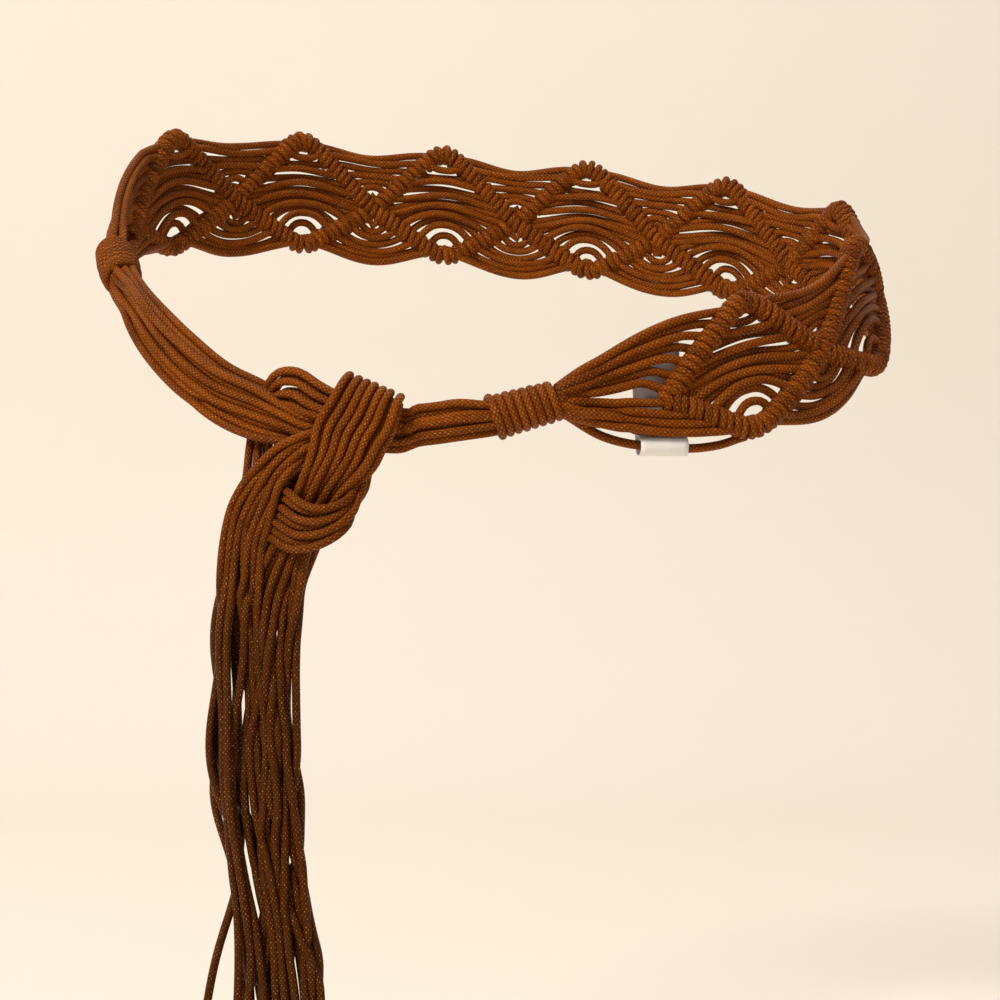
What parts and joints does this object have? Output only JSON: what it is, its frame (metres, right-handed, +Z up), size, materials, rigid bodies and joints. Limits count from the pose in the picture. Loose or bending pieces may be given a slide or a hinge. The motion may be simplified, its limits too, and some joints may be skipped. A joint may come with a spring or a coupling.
{
  "type": "woven sash belt",
  "caption": "Sash belt of waxed cotton cord, shaped as worn at the hips: an openwork diamond band, whipped wraps, cord bundles tied in a soft front knot and a long hanging fringe.",
  "frame": {"origin": "middle of the loop, where the wearer's waist passes through, at the belt's mean height", "axes": "+Z up along the wearer, -Y to the front, +X to the right-hand side of a front view"},
  "size_m": [0.295, 0.2232, 0.3351],
  "materials": {
    "cord": "waxed braided cotton, slight sheen",
    "satin": "white satin ribbon"
  },
  "bodies": {
    "root": {"openwork_band": "cord", "fan_right": "cord", "fan_left": "cord", "bundle_right": "cord", "bundle_left": "cord", "knot": "cord", "fringe_front": "cord", "fringe_rear": "cord", "slack_cord": "cord", "wrap_right": "cord", "wrap_left": "cord", "label": "satin"}
  },
  "joints": []
}
